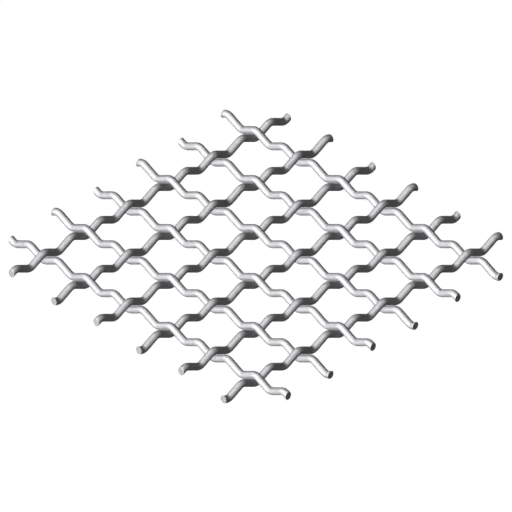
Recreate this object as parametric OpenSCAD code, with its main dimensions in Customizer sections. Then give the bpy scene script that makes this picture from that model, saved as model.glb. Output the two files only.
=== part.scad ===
// Crimped wire mesh: a square piece of cloth woven from round steel wires.
// The wires are bent to shape before they are woven. Each one has extra bends between
// its crossings, and every crossing sits in the bends of both wires.
// The sheet lies flat: warp wires run along Y, weft wires along X, lowest bends at Z = 0.

/* [Wire] */
// Diameter of the round wire
wire_d = 4; // [3:0.1:4.6]
// How much wider the inside radius of a bend is than half the wire
crimp_ease = 0.2; // [0.1:0.05:0.4]

/* [Weave] */
// Distance from one wire to the next, centre to centre
pitch = 30; // [27:0.5:36]
// Half waves from one crossing to the next: 3 has bends between the crossings, 1 has none
crimps_per_pitch = 3; // [1, 3]
// Slack between two wires where they cross
seat_gap = 0.05; // [0.02:0.01:0.1]

/* [Sheet] */
// Number of warp wires, which run along Y
warp_count = 6; // [2:1:10]
// Number of weft wires, which run along X
weft_count = 6; // [2:1:10]
// Length of every wire past its last crossing
overhang = 23; // [12:0.5:26]

/* [Look] */
// Colour of the bare drawn steel, as red, green and blue
steel_rgb = [0.63, 0.63, 0.65];

/* [Hidden] */
warp_names = [for (i = [1 : warp_count]) str("warp_wire_", i)];
weft_names = [for (i = [1 : weft_count]) str("weft_wire_", i)];
$fn = 48;

// Height of a wire's centreline from trough to crest: one wire plus the slack
crimp_depth = wire_d + seat_gap;
// Radius of a bend at the centreline
bend_r = wire_d / 2 + wire_d / 2 + crimp_ease;
half_wave = pitch / crimps_per_pitch;
// Slope of the straight legs, so that they are tangent to the bend at either end
bend_drop = crimp_depth - 2 * bend_r;
leg_slope = atan(bend_drop / half_wave) + asin(2 * bend_r / norm([half_wave, bend_drop]));
leg_l = (half_wave - 2 * bend_r * sin(leg_slope)) / cos(leg_slope);
// The legs are a hair thinner than the bends, and run this far into them to join
leg_step = wire_d / 400;
leg_lap = wire_d / 16;
// Bends past the last crossing
tail_bends = round(overhang / half_wave);
// Height of the plane halfway through the sheet
mid_z = (crimp_depth + wire_d) / 2;

// Position of wire number i of a set, centred on the sheet
function place(i, count) = (i - (count - 1) / 2) * pitch;

// A bend with its crest above the origin, in the XZ plane
module crest() {
  translate([0, 0, crimp_depth / 2 - bend_r])
    rotate([90, 0, 0])
      rotate([0, 0, 90 - leg_slope])
        rotate_extrude(angle = 2 * leg_slope)
          translate([bend_r, 0])
            circle(d = wire_d);
}

// The straight leg that falls from a crest at the origin to the next trough
module leg() {
  translate([half_wave / 2, 0, 0])
    rotate([0, 90 + leg_slope, 0])
      cylinder(d = wire_d - 2 * leg_step, h = leg_l + 2 * leg_lap, center = true);
}

// One half wave: a crest at the origin and the leg that follows it
module half_turn() {
  crest();
  leg();
}

// One wire along X about the sheet's mid-plane. The bend at the first crossing is a
// crest when first is 0 and a trough when it is 1. The ends are cut square to the run.
module crimped_wire(crossings, first) {
  last = (crossings - 1) * crimps_per_pitch;
  length = (crossings - 1) * pitch + 2 * overhang;
  intersection() {
    for (k = [-tail_bends - 1 : last + tail_bends])
      translate([place(0, crossings) + k * half_wave, 0, 0])
        mirror([0, 0, abs(k + first) % 2])
          half_turn();
    cube([length, 4 * wire_d, 4 * wire_d], center = true);
  }
}

// A warp wire passes over the first weft wire when its number i is even
module warp_wire(i) {
  color(steel_rgb)
    translate([place(i, warp_count), 0, mid_z])
      rotate([0, 0, 90])
        crimped_wire(weft_count, i % 2);
}

// A weft wire passes under the first warp wire when its number j is even
module weft_wire(j) {
  color(steel_rgb)
    translate([0, place(j, weft_count), mid_z])
      crimped_wire(warp_count, (j + 1) % 2);
}

for (i = [0 : warp_count - 1])
  warp_wire(i);
for (j = [0 : weft_count - 1])
  weft_wire(j);
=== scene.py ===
import math

import bpy
import numpy as np
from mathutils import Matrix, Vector


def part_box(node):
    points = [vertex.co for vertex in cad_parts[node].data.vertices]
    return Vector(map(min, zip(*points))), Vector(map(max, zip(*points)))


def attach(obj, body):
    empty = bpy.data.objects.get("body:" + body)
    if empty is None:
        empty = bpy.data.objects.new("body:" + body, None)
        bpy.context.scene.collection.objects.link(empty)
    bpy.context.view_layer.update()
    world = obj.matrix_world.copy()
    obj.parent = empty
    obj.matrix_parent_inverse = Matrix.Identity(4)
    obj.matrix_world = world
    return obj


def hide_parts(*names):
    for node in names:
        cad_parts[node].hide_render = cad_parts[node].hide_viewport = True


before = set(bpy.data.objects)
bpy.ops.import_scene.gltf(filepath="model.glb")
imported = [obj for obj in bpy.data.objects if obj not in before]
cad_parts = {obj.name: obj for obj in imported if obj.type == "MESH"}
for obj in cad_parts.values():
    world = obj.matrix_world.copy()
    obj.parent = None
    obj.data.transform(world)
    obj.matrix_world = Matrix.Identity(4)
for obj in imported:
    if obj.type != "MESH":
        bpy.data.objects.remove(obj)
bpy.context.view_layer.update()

MM = 0.001

# The wires, measured from the frame. Every node is one wire.
warp_nodes = sorted(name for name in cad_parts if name.startswith("warp_wire_"))
weft_nodes = sorted(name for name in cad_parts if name.startswith("weft_wire_"))


def middle(node):
    """The middle of a node's box."""
    low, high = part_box(node)
    return (Vector(low) + Vector(high)) / 2


def extent(node):
    """The lengths of a node's box."""
    low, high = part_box(node)
    return Vector(high) - Vector(low)


WIRE_D = extent(warp_nodes[0]).x
WIRE_R = WIRE_D / 2
PITCH = middle(warp_nodes[1]).x - middle(warp_nodes[0]).x
CRIMP_DEPTH = extent(warp_nodes[0]).z - WIRE_D
MID_Z = middle(warp_nodes[0]).z

# The crimp: three half waves a pitch, in bends a little wider inside than half a wire
CRIMPS_PER_PITCH = 3
CRIMP_EASE = 0.2 * MM
BEND_R = WIRE_D + CRIMP_EASE
HALF_WAVE = PITCH / CRIMPS_PER_PITCH
BEND_DROP = CRIMP_DEPTH - 2 * BEND_R
LEG_SLOPE = math.atan2(BEND_DROP, HALF_WAVE) + math.asin(2 * BEND_R / math.hypot(HALF_WAVE, BEND_DROP))
BEND_HALF = BEND_R * math.sin(LEG_SLOPE)

# Marks left by the crimping tool and by the shear
PRESS_DEPTH = 0.045 * MM
PRESS_SPREAD = 0.02 * MM
PRESS_REACH = 1.3 * MM
PRESS_SHARPNESS = 6
SHEAR_ROLL = 0.16 * MM
SHEAR_BURR = 0.06 * MM

# How finely a wire is drawn. CAP_START is the first ring across a cut face, as a share of its rim.
SIDES = 56
BEND_RINGS = 12
LEG_RINGS = 8
CAP_RINGS = 5
CAP_START = 0.9
ROLL_RINGS = 4
RING_ANGLES = np.linspace(0, 2 * math.pi, SIDES, endpoint=False)
RING_UP, RING_SIDE = np.cos(RING_ANGLES), np.sin(RING_ANGLES)

# The photograph, in pixels of its 512: the pitch and where the sheet's centre lies
FRAME_PX = 512
PHOTO_PITCH_PX = 59.97
PHOTO_CENTRE_PX = (255.88, 256.50)
VIEW_AZIMUTH = math.radians(45)
VIEW_ELEVATION = math.atan(math.sqrt(0.5))


class Value:
    """A shader socket that Python's arithmetic adds Math nodes to."""

    def __init__(self, shader, socket):
        self.shader = shader
        self.socket = socket

    def _math(self, operation, first, second):
        return self.shader.node("Math", {"operation": operation}, {0: first, 1: second})

    def __add__(self, other):
        return self._math("ADD", self, other)

    def __radd__(self, other):
        return self._math("ADD", other, self)

    def __sub__(self, other):
        return self._math("SUBTRACT", self, other)

    def __rsub__(self, other):
        return self._math("SUBTRACT", other, self)

    def __mul__(self, other):
        return self._math("MULTIPLY", self, other)

    def __rmul__(self, other):
        return self._math("MULTIPLY", other, self)


class Shader:
    """The node tree of a material or a world, emptied and ready to be built."""

    def __init__(self, owner):
        owner.use_nodes = True
        self.tree = owner.node_tree
        self.tree.nodes.clear()

    def node(self, kind, settings=None, inputs=None, output=0):
        """Adds a node of that type. Settings come first, then values or links for its sockets."""
        made = self.tree.nodes.new("ShaderNode" + kind)
        for name, value in (settings or {}).items():
            setattr(made, name, value)
        for key, value in (inputs or {}).items():
            if isinstance(value, Value):
                self.tree.links.new(value.socket, made.inputs[key])
            else:
                made.inputs[key].default_value = value
        if not made.outputs:
            return None
        return Value(self, made.outputs[output])

    def mix(self, share, first, second):
        """A colour from first to second."""
        settings = {"data_type": "RGBA"}
        return self.node("Mix", settings, {"Factor": share, "A": first, "B": second}, "Result")

    def noise(self, place, scale, detail, roughness=0.5):
        """Noise from 0 to 1 over a place."""
        inputs = {"Vector": place, "Scale": scale, "Detail": detail, "Roughness": roughness}
        return self.node("TexNoise", {"noise_dimensions": "3D"}, inputs, "Fac")

    def stretched(self, place, scale):
        """A place multiplied by a scale of its own along each axis."""
        return self.node("VectorMath", {"operation": "MULTIPLY"}, {0: place, 1: scale}, "Vector")

    def ramp(self, value, low, high):
        """0 where the value is low, 1 where it is high, and smooth between."""
        inputs = {"Value": value, "From Min": low, "From Max": high}
        return self.node("MapRange", {"interpolation_type": "SMOOTHSTEP"}, inputs, "Result")


def grey(level, blue=1.0):
    """A colour of one level, with a share more or less blue."""
    return (level, level, level * blue, 1)


# Materials

STEEL = 0.455
STEEL_BLUE = 1.03
STEEL_METAL = 0.1
EDGE_TINT = grey(0)
FILM_TINT = grey(0.6)
FILM_IOR = 1.05
FILM_ROUGHNESS = 0.6


def steel(share):
    """The steel's colour, lighter or darker by that share."""
    return grey(STEEL * share, STEEL_BLUE)


def steel_surface(shader, colour, roughness, normal):
    """Ends a steel material: a matt metal under a thin film of drawing soap, which dims its edges."""
    surface = {
        "Base Color": colour,
        "Metallic": STEEL_METAL,
        "Specular IOR Level": 0.0,
        "Specular Tint": EDGE_TINT,
        "Roughness": roughness,
        "Normal": normal,
        "Coat Weight": 1.0,
        "Coat Tint": FILM_TINT,
        "Coat IOR": FILM_IOR,
        "Coat Roughness": FILM_ROUGHNESS,
    }
    bsdf = shader.node("BsdfPrincipled", {}, surface, "BSDF")
    shader.node("OutputMaterial", {}, {"Surface": bsdf})


def drawn_steel():
    """Bare drawn wire: die lines along it, a cloudy skin, and burnished marks at the bends."""
    material = bpy.data.materials.new("drawn_steel")
    shader = Shader(material)
    place = shader.node("Attribute", {"attribute_name": "wire_place"}, output="Vector")
    press = shader.node("Attribute", {"attribute_name": "press"}, output="Fac")
    die_lines = shader.noise(shader.stretched(place, (1, 1, 0.015)), scale=4200, detail=4, roughness=0.6)
    bands = shader.noise(shader.stretched(place, (1, 1, 0.04)), scale=1100, detail=2)
    dashes = shader.noise(shader.stretched(place, (1, 1, 0.12)), scale=2200, detail=3)
    clouds = shader.noise(place, scale=220, detail=4, roughness=0.6)
    grain = shader.noise(place, scale=8000, detail=3, roughness=0.6)
    tone = shader.ramp(0.6 * die_lines + 0.25 * bands + 0.15 * clouds, low=0.36, high=0.64)
    residue = shader.ramp(dashes, low=0.58, high=0.72)
    burnish = press * shader.ramp(0.6 * dashes + 0.4 * grain, low=0.4, high=0.6)
    skin = shader.mix(tone, steel(0.88), steel(1.12))
    dulled = shader.mix(0.4 * residue, skin, steel(0.7))
    colour = shader.mix(0.6 * burnish, dulled, steel(1.25))
    roughness = 0.7 + 0.08 * clouds + 0.05 * die_lines + 0.06 * residue - 0.1 * burnish
    height = 0.55 * die_lines + 0.3 * dashes + 0.15 * grain
    normal = shader.node("Bump", {}, {"Strength": 0.6, "Distance": 0.02 * MM, "Height": height}, "Normal")
    steel_surface(shader, colour, roughness, normal)
    return material


def sheared_steel():
    """The cut end of a wire: a smooth sheared band and a grainy torn one."""
    material = bpy.data.materials.new("sheared_steel")
    shader = Shader(material)
    place = shader.node("Attribute", {"attribute_name": "wire_place"}, output="Vector")
    height_in_face = shader.node("SeparateXYZ", {}, {"Vector": place}, "X")
    ragged = height_in_face + 0.6 * MM * shader.noise(place, scale=900, detail=2)
    torn = shader.ramp(ragged, low=-0.3 * MM, high=0.5 * MM)
    grain = shader.noise(place, scale=5000, detail=4, roughness=0.7)
    drag = shader.noise(shader.stretched(place, (0.1, 1, 1)), scale=4200, detail=2)
    band = shader.mix(drag, steel(0.96), steel(1.16))
    tear = shader.mix(grain, steel(0.8), steel(1.1))
    height = grain * torn + 0.35 * drag * (1.0 - torn)
    normal = shader.node("Bump", {}, {"Strength": 0.5, "Distance": 0.04 * MM, "Height": height}, "Normal")
    steel_surface(shader, shader.mix(torn, band, tear), 0.64 + 0.14 * torn, normal)
    return material


def seen_white(shader):
    """1 for what the camera sees, straight on or in a gloss or through glass, and 0 for other light."""
    camera = shader.node("LightPath", {}, {}, "Is Camera Ray")
    gloss = shader.node("LightPath", {}, {}, "Is Glossy Ray")
    through = shader.node("LightPath", {}, {}, "Is Transmission Ray")
    return shader.node("Math", {"operation": "ADD", "use_clamp": True}, {0: camera + gloss, 1: through})


# The sheet's wires


def path_stations(crossings, overhang):
    """Distances along a wire's run, close together in the bends, from one cut end to the other."""
    half_span = (crossings - 1) / 2 * PITCH
    reach = half_span + overhang
    bends = math.ceil(overhang / HALF_WAVE)
    first_bend = -half_span - bends * HALF_WAVE
    stations = []
    for k in range((crossings - 1) * CRIMPS_PER_PITCH + 2 * bends + 1):
        bend = first_bend + k * HALF_WAVE
        for turn in np.linspace(-LEG_SLOPE, LEG_SLOPE, BEND_RINGS, endpoint=False):
            stations.append(bend + BEND_R * math.sin(turn))
        leg = np.linspace(BEND_HALF, HALF_WAVE - BEND_HALF, LEG_RINGS, endpoint=False)
        stations.extend(bend + leg)
    margin = SHEAR_ROLL + WIRE_R * math.tan(LEG_SLOPE)
    inner = [s for s in stations if abs(s) < reach - margin]
    return np.array(inner), reach


def centreline(run, crossings, first):
    """Height, slope and bend strength of a wire at distances along its run.

    The bend at the first crossing is a crest when first is 0 and a trough when it is 1.
    Bend strength is 1 in the middle of a crest, -1 in the middle of a trough and 0 on a leg.
    """
    from_first = run + (crossings - 1) / 2 * PITCH
    number = np.round(from_first / HALF_WAVE)
    offset = from_first - number * HALF_WAVE
    side = np.where((number + first) % 2 == 0, 1.0, -1.0)
    in_bend = np.abs(offset) < BEND_HALF
    arc = np.sqrt(np.maximum(BEND_R**2 - offset**2, (BEND_R * math.cos(LEG_SLOPE)) ** 2))
    top = CRIMP_DEPTH / 2 - BEND_R
    leg_height = top + BEND_R * math.cos(LEG_SLOPE) - (np.abs(offset) - BEND_HALF) * math.tan(LEG_SLOPE)
    height = side * np.where(in_bend, top + arc, leg_height)
    slope = side * np.where(in_bend, -offset / arc, -np.sign(offset) * math.tan(LEG_SLOPE))
    strength = side * np.exp(-((offset / PRESS_REACH) ** 2))
    return height, slope, strength


def shank_rings(run, crossings, first, shift):
    """The rings round a wire's length, each point's place on the surface and how hard it was pressed."""
    rings, places, presses = [], [], []
    for s, z, rise, bend in zip(run, *centreline(run, crossings, first)):
        along = np.array([1, 0, rise]) / math.hypot(1, rise)
        across = np.array([-along[2], 0, along[0]])
        press = np.clip(RING_UP * np.sign(bend), 0, 1) ** PRESS_SHARPNESS * abs(bend)
        ring = np.array([s, 0, z]) + np.outer((WIRE_R - PRESS_DEPTH * press) * RING_UP, across)
        ring[:, 1] += (WIRE_R + PRESS_SPREAD * abs(bend)) * RING_SIDE
        rings.append(ring)
        places.append(np.stack([WIRE_R * RING_UP, WIRE_R * RING_SIDE, np.full(SIDES, s + shift)], 1))
        presses.append(press)
    return rings, places, presses


def cut_rings(cut, crossings, first, shift):
    """The rings of the end cut at that distance: round its rolled edge, then in across its face."""
    out = math.copysign(1, cut)
    z, rise, _ = (value[0] for value in centreline(np.array([cut]), crossings, first))
    slant = math.hypot(1, rise)
    roll = SHEAR_BURR + (SHEAR_ROLL - SHEAR_BURR) * (1 + RING_UP) / 2
    rings = []
    for turn in np.linspace(0, math.pi / 2, ROLL_RINGS + 1):
        back = out * roll * (1 - math.sin(turn))
        size = 1 - roll * (1 - math.cos(turn)) / WIRE_R
        height = z + WIRE_R * RING_UP * slant * size - back * rise
        rings.append(np.stack([cut - back, WIRE_R * RING_SIDE * size, height], 1))
    centre = np.array([cut, 0, z])
    rim = rings[-1] - centre
    rings.extend(centre + rim * share for share in np.linspace(CAP_START, 0, CAP_RINGS, endpoint=False))
    places = [np.stack([ring[:, 2] - z, ring[:, 1], np.full(SIDES, cut + shift)], 1) for ring in rings]
    return rings, places


def tube_faces(count):
    """Four-sided faces between rings that follow each other, and a face to close each end, all outward."""
    around = np.arange(SIDES)
    after = np.roll(around, -1)
    band = np.stack([around, around + SIDES, after + SIDES, after], 1)
    bands = [band + k * SIDES for k in range(count - 1)]
    first_cap, last_cap = around, around[::-1] + (count - 1) * SIDES
    return np.concatenate(bands).tolist() + [first_cap.tolist(), last_cap.tolist()]


def wire_mesh(name, crossings, overhang, first, shift):
    """A crimped wire along X about its own middle, with rolled and burred cut ends.

    shift moves the surface pattern along the wire, so that no two wires look the same.
    """
    run, reach = path_stations(crossings, overhang)
    rings, places, presses = shank_rings(run, crossings, first, shift)
    near_rings, near_places = cut_rings(-reach, crossings, first, shift)
    far_rings, far_places = cut_rings(reach, crossings, first, shift)
    rings = near_rings[::-1] + rings + far_rings
    places = near_places[::-1] + places + far_places
    unpressed = [np.zeros(SIDES)] * len(near_rings)
    presses = unpressed + presses + unpressed
    mesh = bpy.data.meshes.new(name)
    mesh.from_pydata(np.concatenate(rings).tolist(), [], tube_faces(len(rings)))
    wire_place = mesh.attributes.new("wire_place", "FLOAT_VECTOR", "POINT")
    wire_place.data.foreach_set("vector", np.concatenate(places).ravel())
    press = mesh.attributes.new("press", "FLOAT", "POINT")
    press.data.foreach_set("value", np.concatenate(presses))
    mesh.shade_smooth()
    mesh.materials.append(STEEL_SKIN)
    mesh.materials.append(STEEL_CUT)
    cap_faces = CAP_RINGS * SIDES
    tube = (len(rings) - 1) * SIDES
    cut = np.ones(tube + 2, dtype=np.int32)
    cut[cap_faces : tube - cap_faces] = 0
    mesh.polygons.foreach_set("material_index", cut)
    return mesh


def lay_wire(node, name, crossings, first, turn, shift):
    """Puts a wire where its node is, turned by that angle about Z, in place of the node."""
    length = max(extent(node))
    overhang = (length - (crossings - 1) * PITCH) / 2
    mesh = wire_mesh(name, crossings, overhang, first, shift)
    wire = bpy.data.objects.new(name, mesh)
    bpy.context.scene.collection.objects.link(wire)
    c, s = math.cos(turn), math.sin(turn)
    points = np.array([v.co for v in mesh.vertices])
    centre = middle(node)
    placed = np.stack(
        [
            c * points[:, 0] - s * points[:, 1] + centre.x,
            s * points[:, 0] + c * points[:, 1] + centre.y,
            points[:, 2] + MID_Z,
        ],
        1,
    )
    mesh.vertices.foreach_set("co", placed.ravel())
    mesh.update()
    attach(wire, "root")
    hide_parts(node)


STEEL_SKIN = drawn_steel()
STEEL_CUT = sheared_steel()

PATTERN_STEP = 0.37
for i, node in enumerate(warp_nodes):
    lay_wire(node, f"crimped_warp_{i + 1}", len(weft_nodes), i % 2, math.pi / 2, i * PATTERN_STEP)
for j, node in enumerate(weft_nodes):
    shift = (len(warp_nodes) + j) * PATTERN_STEP
    lay_wire(node, f"crimped_weft_{j + 1}", len(warp_nodes), (j + 1) % 2, 0, shift)


# The floor, the light and the camera

FLOOR_SIZE = 60
FLOOR_PALE = 0.15
FLOOR_SHADOW = 0.8
FLOOR_WHITE = 0.73
SKY_LEVEL = 0.005
CAMERA_DISTANCE = 1
CAMERA_CLIP = 10


def pale_floor():
    """A plain floor that looks white and keeps a soft shadow."""
    material = bpy.data.materials.new("pale_floor")
    shader = Shader(material)
    seen = seen_white(shader)
    surface = {
        "Base Color": shader.mix(seen, grey(FLOOR_PALE), grey(FLOOR_SHADOW)),
        "Roughness": 1.0,
        "Specular IOR Level": 0.0,
        "Emission Color": shader.mix(seen, grey(0), grey(FLOOR_WHITE)),
        "Emission Strength": 1.0,
    }
    bsdf = shader.node("BsdfPrincipled", {}, surface, "BSDF")
    shader.node("OutputMaterial", {}, {"Surface": bsdf})
    return material


def lay_floor():
    """A wide level floor under the sheet."""
    half = FLOOR_SIZE / 2
    corners = [(-half, -half, 0), (half, -half, 0), (half, half, 0), (-half, half, 0)]
    mesh = bpy.data.meshes.new("floor")
    mesh.from_pydata(corners, [], [(0, 1, 2, 3)])
    mesh.materials.append(pale_floor())
    floor = bpy.data.objects.new("floor", mesh)
    bpy.context.scene.collection.objects.link(floor)


def light_room():
    """A dim even room that looks white."""
    world = bpy.data.worlds.new("room")
    bpy.context.scene.world = world
    shader = Shader(world)
    colour = shader.mix(seen_white(shader), grey(SKY_LEVEL), grey(1.0))
    background = shader.node("Background", {}, {"Color": colour, "Strength": 1.0}, "Background")
    shader.node("OutputWorld", {}, {"Surface": background})


def soft_lamp(name, azimuth, elevation, strength, spread, shadow=False, gloss_only=False):
    """A far, soft lamp. Azimuth 0 shines from -Y and 90 from +X. A gloss_only lamp shows only in gloss."""
    a, e = math.radians(azimuth), math.radians(elevation)
    towards = Vector((math.sin(a) * math.cos(e), -math.cos(a) * math.cos(e), math.sin(e)))
    light = bpy.data.lights.new(name, "SUN")
    light.energy = strength
    light.angle = math.radians(spread)
    light.use_shadow = shadow
    lamp = bpy.data.objects.new(name, light)
    lamp.rotation_mode = "QUATERNION"
    lamp.rotation_quaternion = towards.to_track_quat("Z", "Y")
    lamp.location = towards
    lamp.visible_diffuse = not gloss_only
    bpy.context.scene.collection.objects.link(lamp)


def place_camera():
    """A true isometric view, with the sheet's pitch and centre where the photograph has them."""
    a, e = VIEW_AZIMUTH, VIEW_ELEVATION
    back = Vector((math.sin(a) * math.cos(e), -math.cos(a) * math.cos(e), math.sin(e)))
    right = Vector((math.cos(a), math.sin(a), 0))
    up = back.cross(right)
    pixel = PITCH / PHOTO_PITCH_PX
    centre = Vector((0, 0, MID_Z))
    aim = centre + right * pixel * (FRAME_PX / 2 - PHOTO_CENTRE_PX[0])
    aim += up * pixel * (PHOTO_CENTRE_PX[1] - FRAME_PX / 2)
    data = bpy.data.cameras.new("camera")
    data.type = "ORTHO"
    data.ortho_scale = FRAME_PX * pixel
    data.clip_end = CAMERA_CLIP
    camera = bpy.data.objects.new("camera", data)
    camera.rotation_mode = "QUATERNION"
    camera.rotation_quaternion = back.to_track_quat("Z", "Y")
    camera.location = aim + back * CAMERA_DISTANCE
    bpy.context.scene.collection.objects.link(camera)
    bpy.context.scene.camera = camera


lay_floor()
light_room()
soft_lamp("key", azimuth=0, elevation=18, strength=3.05, spread=15)
soft_lamp("gloss_panel", azimuth=-7.5, elevation=27, strength=118, spread=64, gloss_only=True)
soft_lamp("overhead", azimuth=0, elevation=90, strength=0.14, spread=14, shadow=True)
place_camera()
bpy.context.scene.view_settings.view_transform = "Standard"
